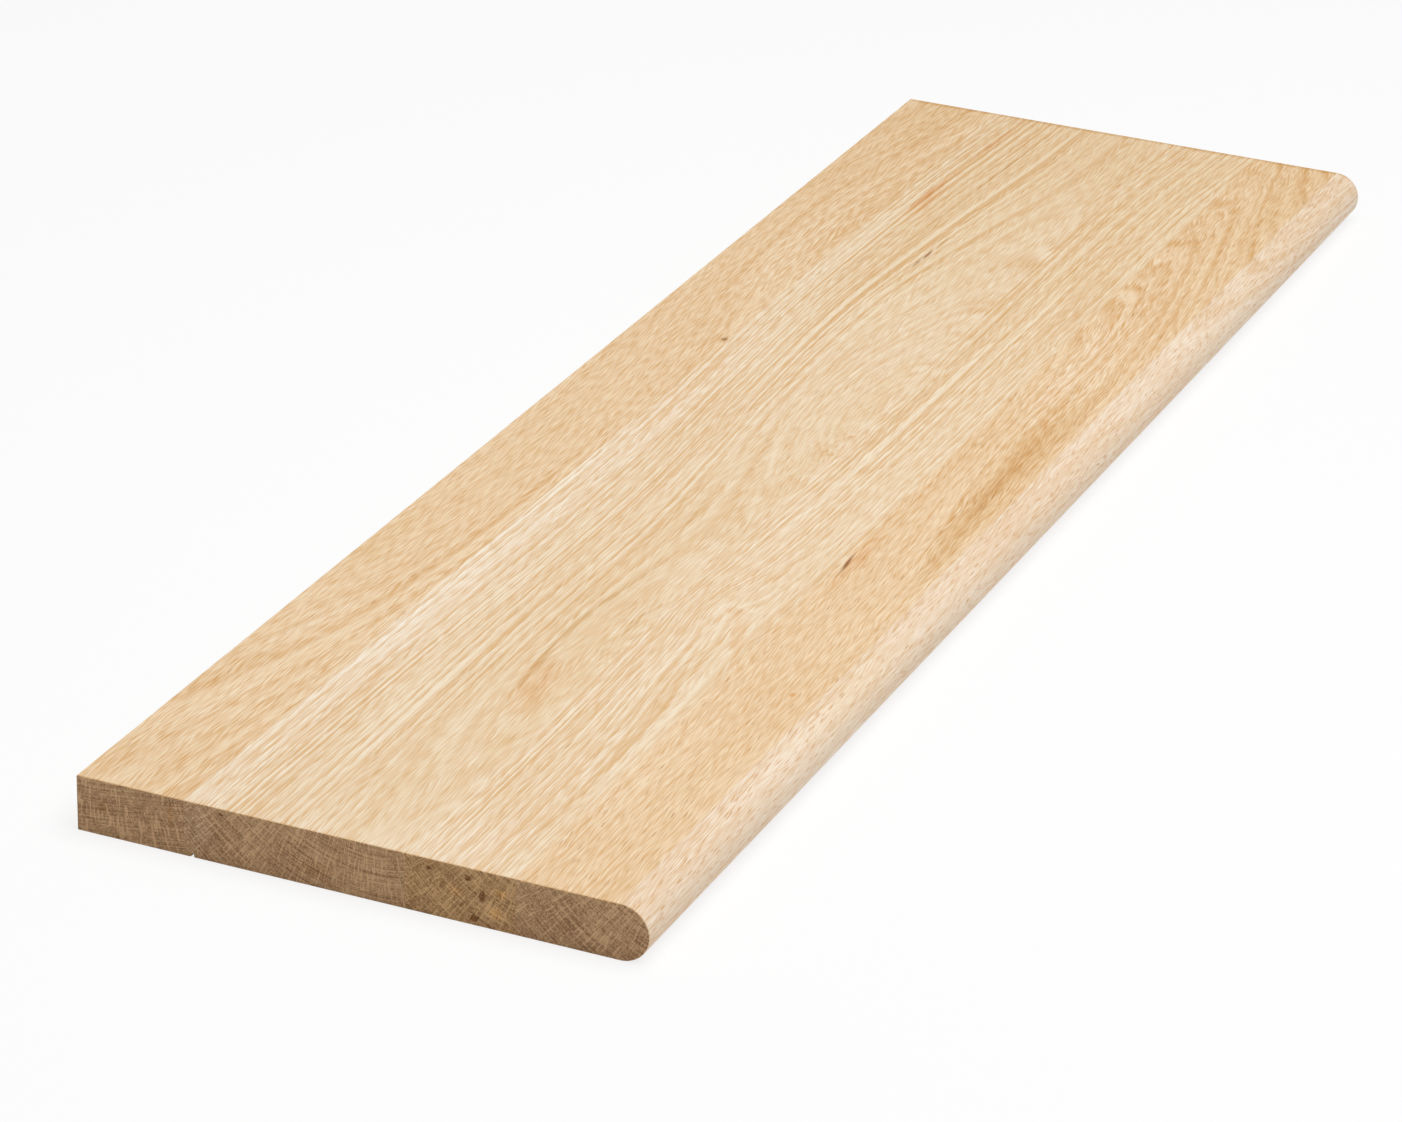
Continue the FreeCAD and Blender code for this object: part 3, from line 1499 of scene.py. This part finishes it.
@dataclass(frozen=True)
class Softbox:
    """A square soft lamp that points at the tread."""

    name: str
    place: tuple[float, float, float]
    size: float
    power: float

    def build(self) -> None:
        """Hangs the lamp."""
        lamp = bpy.data.lights.new(self.name, "AREA")
        lamp.size = self.size
        lamp.energy = self.power
        box = bpy.data.objects.new(self.name, lamp)
        box.location = self.place
        box.rotation_euler = (-Vector(self.place)).to_track_quat("-Z", "Y").to_euler()
        bpy.context.scene.collection.objects.link(box)
        LOG.info("%s: %.0f W", self.name, self.power)


@dataclass(frozen=True)
class Studio:
    """A white sweep with soft light from above, as for a catalogue picture."""

    lamps: tuple[Softbox, ...]
    ambient: float
    floor_size: float = 14.0
    floor_drop: float = 0.05 * MM
    floor_colour: Colour = (0.92, 0.92, 0.92, 1.0)
    floor_glow: float = 0.8

    def backdrop_share(self, sheet: NodeSheet) -> Socket:
        """Wires 1 for the rays that see the backdrop, and 0 for the rest.

        Args:
            sheet: The tree of the floor or the world.

        Returns:
            The share.
        """
        light_path = sheet.add("ShaderNodeLightPath").outputs
        share = light_path[RayKind.CAMERA.value]
        for kind in (RayKind.GLOSSY, RayKind.TRANSMISSION):
            share = sheet.calc(Op.MAXIMUM, share, light_path[kind.value])
        return share

    def build_world(self) -> None:
        """Lights the scene softly from all round, in front of a white backdrop."""
        world = bpy.data.worlds.new("studio")
        world.use_nodes = True
        world.node_tree.nodes.clear()
        sheet = NodeSheet(world.node_tree)
        soft = sheet.add("ShaderNodeBackground", {"Color": WHITE, "Strength": self.ambient})
        white = sheet.add("ShaderNodeBackground", {"Color": WHITE, "Strength": 1.0})
        shares = {0: self.backdrop_share(sheet), 1: soft.outputs[0], 2: white.outputs[0]}
        mixed = sheet.add("ShaderNodeMixShader", shares)
        sheet.add("ShaderNodeOutputWorld", {"Surface": mixed.outputs[0]})
        bpy.context.scene.world = world

    def floor_material(self) -> bpy.types.Material:
        """Builds the white floor, which keeps a pale shadow.

        Returns:
            The floor's material.
        """
        material = bpy.data.materials.new("floor")
        material.use_nodes = True
        material.node_tree.nodes.clear()
        sheet = NodeSheet(material.node_tree)
        matt = sheet.add("ShaderNodeBsdfDiffuse", {"Color": self.floor_colour})
        glow = sheet.add("ShaderNodeEmission", {"Color": WHITE, "Strength": 1.0})
        share = sheet.calc(Op.MULTIPLY, self.backdrop_share(sheet), self.floor_glow)
        mixed = sheet.add("ShaderNodeMixShader", {0: share, 1: matt.outputs[0], 2: glow.outputs[0]})
        sheet.add("ShaderNodeOutputMaterial", {"Surface": mixed.outputs[0]})
        return material

    def build(self) -> None:
        """Sets up the floor, the backdrop and the lamps."""
        bpy.ops.object.select_all(action="DESELECT")
        bpy.ops.mesh.primitive_plane_add(size=self.floor_size, location=(0.0, 0.0, -self.floor_drop))
        floor = bpy.context.object
        floor.name = "floor"
        floor.data.materials.append(self.floor_material())
        floor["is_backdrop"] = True
        self.build_world()
        for lamp in self.lamps:
            lamp.build()


@dataclass(frozen=True)
class PhotoCamera:
    """The camera at the photograph's place: metres, degrees, and a lens for a 36 mm wide frame."""

    place: tuple[float, float, float] = (-2.1567, -0.8877, 1.0454)
    azimuth: float = -66.488
    elevation: float = 24.981
    roll: float = 1.481
    lens: float = 137.70
    sensor_width: float = 36.0

    def build(self) -> None:
        """Sets the camera up and makes it the scene's own."""
        data = bpy.data.cameras.new("photo_camera")
        data.lens = self.lens
        data.sensor_fit = "HORIZONTAL"
        data.sensor_width = self.sensor_width
        camera = bpy.data.objects.new("photo_camera", data)
        turn = Matrix.Rotation(math.radians(self.azimuth), 4, "Z")
        tilt = Matrix.Rotation(math.radians(90.0 - self.elevation), 4, "X")
        roll = Matrix.Rotation(math.radians(self.roll), 4, "Z")
        camera.matrix_world = Matrix.Translation(self.place) @ turn @ tilt @ roll
        bpy.context.scene.collection.objects.link(camera)
        bpy.context.scene.camera = camera
        LOG.info("camera: lens %.1f mm", self.lens)


BACK_OAK = OakFinish(
    slot="back_oak",
    tone=Tone.GOLDEN,
    pith_y=120.0,
    pith_z=155.0,
    ring_width=3.0,
    line_weight=1.8,
    runs=16.0,
    bow_share=-1.0,
    stroke_length=10.0,
    stroke_weight=1.6,
    swells=(
        Swell((-25, 144), (285, 50), lift=-24),
        Swell((220, 97), (235, 29), lift=11),
        Swell((-440, 110), (220, 47), lift=7),
        Swell((475, 127), (170, 44), lift=-10),
    ),
    marks=(
        # Tinted darker over the far half, towards the far end, as on every stave.
        Mark(Stain.HONEY, (457, 105), (420, 70), strength=0.6),
        Mark(Stain.HONEY, (450, 104), (80, 24), strength=0.6),
        Mark(Stain.CREAM, (245, 100), (100, 11), strength=0.9),
        Mark(Stain.HONEY, (-75, 108), (90, 12), strength=0.4),
        Mark(Stain.HONEY, (-190, 123), (60, 9), strength=0.7),
        Mark(Stain.CREAM, (-190, 91), (35, 4), strength=0.5),
        Mark(Stain.HONEY, (-400, 97), (110, 9), strength=0.35),
        Mark(Stain.CREAM, (-370, 105), (50, 12), strength=0.4, slant=-0.1),
        Mark(Stain.CREAM, (-276, 110), (50, 3), strength=0.7, slant=-0.28),
        Mark(Stain.UMBER, (93, 81.6), (2.6, 2.0), strength=0.8),
        Mark(Stain.BROWN, (93, 81.4), (6, 3.0), strength=0.6),
        far_line(105, 40),
    ),
    end_marks=(
        end_spot(Stain.ORANGE, (86, 17), (1.5, 7), strength=0.5),
        end_spot(Stain.BROWN, (118, 13), (3, 4), strength=0.5),
    ),
)

WIDE_OAK = OakFinish(
    slot="wide_oak",
    tone=Tone.PALE,
    pith_y=-6.0,
    pith_z=87.0,
    ring_width=2.9,
    depth=0.46,
    ring_weight=0.45,
    bow_share=0.4,
    stroke_weight=1.1,
    swells=(
        Swell((-260, -24), (135, 43), lift=-10),
        Swell((50, -23), (76, 28), lift=-18),
        Swell((105, -33), (175, 38), lift=-17),
        Swell((-232, -25), (29, 11), lift=12),
        Swell((-50, 55), (180, 28), lift=10),
        Swell((555, 77), (170, 36), lift=8.5),
        Swell((70, 41), (225, 29), lift=-14),
    ),
    marks=(
        # Tinted darker over the far half, towards the far end, as on every stave.
        Mark(Stain.HONEY, (457, 30), (420, 70)),
        Mark(Stain.CREAM, (-190, 75), (440, 16), strength=0.85),
        Mark(Stain.CREAM, (-250, 66), (330, 18), strength=0.35),
        Mark(Stain.CREAM, (35, 65), (140, 10), strength=0.65),
        Mark(Stain.CREAM, (275, 37), (60, 6), strength=0.3),
        Mark(Stain.CREAM, (-150, 20), (70, 6), strength=0.25),
        Mark(Stain.CREAM, (-60, 40), (220, 10), strength=0.2),
        Mark(Stain.HONEY, (-220, 8), (340, 24), strength=0.45),
        Mark(Stain.HONEY, (-300, -15), (140, 9), strength=0.8),
        Mark(Stain.HONEY, (-420, 4), (70, 10), strength=0.4),
        Mark(Stain.HONEY, (20, -14), (170, 9), strength=0.6),
        Mark(Stain.HONEY, (410, -10), (80, 12)),
        Mark(Stain.HONEY, (390, 20), (90, 9), strength=0.35),
        Mark(Stain.BLUSH, (-297, -3), (36, 11), strength=0.75, slant=0.2),
        Mark(Stain.BROWN, (-226, -15), (24, 1.6), strength=0.45),
        Mark(Stain.CREAM, (-222, -11.5), (26, 1.5), strength=0.5),
        Mark(Stain.ORANGE, (-272, -8), (9, 3), strength=0.3),
        Mark(Stain.BROWN, (-278, 5.4), (30, 2.4), strength=0.65, slant=0.1),
        Mark(Stain.BROWN, (-236, 7.8), (34, 2.4), strength=0.65),
        Mark(Stain.BROWN, (-190, 4.2), (36, 1.6), strength=0.55, slant=-0.12),
        Mark(Stain.BROWN, (-110, 8), (60, 1.6), strength=0.3, slant=0.12),
        Mark(Stain.BROWN, (208, 61), (60, 1.1), strength=0.4),
        Mark(Stain.BROWN, (335, 46), (130, 1.0), strength=0.8, slant=-0.051),
        Mark(Stain.BLUSH, (320, 64), (28, 6), strength=0.9),
        Mark(Stain.ORANGE, (330, 66.4), (42, 2.4), strength=0.55, slant=-0.02),
        Mark(Stain.ORANGE, (410, 63.4), (75, 1.2), strength=0.7, slant=-0.046),
        Mark(Stain.UMBER, (232, 34.8), (10, 1.2), strength=0.6),
        Mark(Stain.UMBER, (244, 34.2), (9, 1.5), strength=0.8, slant=-0.03),
        Mark(Stain.BROWN, (262, 33.3), (12, 0.9), slant=-0.03),
        far_line(29, 80),
    ),
    end_marks=(
        end_spot(Stain.CREAM, (74, 14), (9, 14)),
        end_spot(Stain.UMBER, (62.7, 23), (1.5, 0.9), strength=0.7),
        end_spot(Stain.BLUSH, (20, 8), (14, 4), strength=0.3),
    ),
)

NARROW_OAK = OakFinish(
    slot="narrow_oak",
    tone=Tone.STRAW,
    pith_y=-92.0,
    pith_z=73.0,
    ring_width=2.6,
    depth=0.44,
    line_weight=1.6,
    runs=3.0,
    bow_share=0.6,
    stroke_weight=1.15,
    end_blotches=0.9,
    swells=(
        Swell((-227, -47), (90, 16), lift=-5.5),
        Swell((-147, -26), (100, 16), lift=-3.5),
        Swell((-190, -39), (29, 17), lift=-5),
        Swell((480, -47), (82, 38), lift=6),
    ),
    marks=(
        # Tinted darker over the far half, towards the far end, as on every stave.
        Mark(Stain.HONEY, (457, -46), (420, 70)),
        Mark(Stain.CREAM, (-457, -40), (60, 30), strength=0.7),
        Mark(Stain.CREAM, (-180, -38), (270, 18), strength=0.35),
        Mark(Stain.CREAM, (-400, -54), (110, 9), strength=0.7),
        Mark(Stain.CREAM, (-300, -27), (170, 6), strength=0.25),
        Mark(Stain.CREAM, (300, -27), (150, 6), strength=0.45),
        Mark(Stain.HONEY, (420, -55), (70, 13), strength=0.45),
        Mark(Stain.CREAM, (0, -27), (110, 6), strength=0.35),
        Mark(Stain.HONEY, (225, -38), (110, 9), strength=0.25),
        Mark(Stain.BLUSH, (-190, -50), (5, 9), strength=0.6),
        Mark(Stain.CREAM, (-190, -42), (14, 4), strength=0.5),
        Mark(Stain.BLUSH, (-212, -60), (24, 5), strength=0.65, slant=0.4),
        Mark(Stain.BROWN, (90, -31.4), (270, 1.1), strength=0.45),
        far_line(-47, 40),
    ),
    end_marks=(
        end_spot(Stain.UMBER, (-32.3, 21.2), (1.4, 1.3)),
        end_spot(Stain.UMBER, (-39, 15), (2, 3), strength=0.5),
        end_spot(Stain.UMBER, (-50.2, 20.9), (2.4, 1.9)),
        end_spot(Stain.UMBER, (-56.5, 14), (2, 3.6), strength=0.8),
        end_spot(Stain.UMBER, (-47.3, 8), (1.6, 1.4), strength=0.6),
        end_spot(Stain.UMBER, (-52.8, 3.2), (2.6, 2.2)),
        end_spot(Stain.UMBER, (-67.3, 3.7), (1.5, 2), strength=0.7),
        end_spot(Stain.GOLD, (-64.8, 17), (3.6, 2.6)),
        end_spot(Stain.GOLD, (-62.5, 7.5), (3.6, 3.4)),
        end_spot(Stain.GOLD, (-45, 14), (5, 2.6), strength=0.6),
    ),
)

NOSING_OAK = MouldedOak(
    slot="nosing_oak",
    tone=Tone.GOLDEN,
    pith_y=-165.0,
    pith_z=87.0,
    ring_width=3.4,
    depth=0.42,
    line_weight=0.8,
    slope=0.08,
    runs=9.0,
    bow_share=0.3,
    stroke_length=10.0,
    stroke_width=0.7,
    stroke_weight=1.2,
    pore_weight=0.8,
    rings_from=-300.0,
    rings_to=200.0,
    nose_start=-117.0,
    swells=(
        Swell((565, -85), (300, 54), lift=-38),
        Swell((360, -67), (365, 13), lift=-17),
        Swell((35, -90), (140, 12), lift=-9),
    ),
    marks=(
        # Tinted darker over the far half, towards the far end, as on every stave.
        Mark(Stain.HONEY, (457, -95), (420, 70), strength=0.6),
        Mark(Stain.CREAM, (150, -92), (100, 13)),
        Mark(Stain.CREAM, (260, -82), (200, 11), strength=0.4),
        Mark(Stain.CREAM, (-330, -75), (150, 6), strength=0.3),
        Mark(Stain.HONEY, (-255, -106), (110, 8), strength=0.3),
        # Darker on the upper nose near the left end.
        Mark(Stain.HONEY, (-235, -126), (80, 11)),
        Mark(Stain.HONEY, (-380, -101), (110, 14), strength=0.35),
        Mark(Stain.HONEY, (395, -104), (85, 12), strength=0.75),
        Mark(Stain.HONEY, (5, -103), (140, 13), strength=0.8, slant=0.06),
        Mark(Stain.BROWN, (-65, -106), (85, 8), strength=0.48, slant=0.09),
        Mark(Stain.BROWN, (45, -106), (105, 8), strength=0.48, slant=-0.03),
        far_line(-95, 40),
        Mark(Stain.BLUSH, (-114, -76.5), (42, 5), strength=0.6, slant=0.05),
        Mark(Stain.UMBER, (-122, -74.2), (15, 1.2), strength=0.85, slant=0.08),
        Mark(Stain.ORANGE, (-255, -104.8), (2.8, 1.7)),
    ),
)

TREAD = Tread(
    staves=(
        Stave("back_stave", BACK_OAK),
        Stave(
            "wide_stave",
            WIDE_OAK,
            checks=(
                OpenCheck(x=233, y=34.6, length=10, width=0.7, depth=0.25),
                OpenCheck(x=244.5, y=34.3, length=9, width=0.8, depth=0.25),
            ),
            splinter=MissingSplinter(offset=2.5, run=9.0, width=2.0, height=1.7),
        ),
        Stave("narrow_stave", NARROW_OAK),
        Stave(
            "nosing_stave",
            NOSING_OAK,
            checks=(
                OpenCheck(x=-122, y=-74.2, length=12, width=0.6, depth=0.6, turn=0.08),
            ),
        ),
    )
)

STUDIO = Studio(
    lamps=(
        Softbox("key_softbox", (-0.15, -0.65, 2.3), size=2.0, power=50.0),
    ),
    ambient=0.3,
)


def main() -> None:
    """Builds the tread and its studio, and notes each stave's size."""
    logging.basicConfig(level=logging.INFO, format="%(name)s: %(message)s")
    bpy.context.scene.view_settings.view_transform = "Standard"
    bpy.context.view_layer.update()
    for piece in TREAD.build():
        LOG.info("%s: width %.2f mm, %s", piece.name, piece.dimensions.y / MM, closed_volume(piece))
    STUDIO.build()
    PhotoCamera().build()


if __name__ == "__main__":
    main()
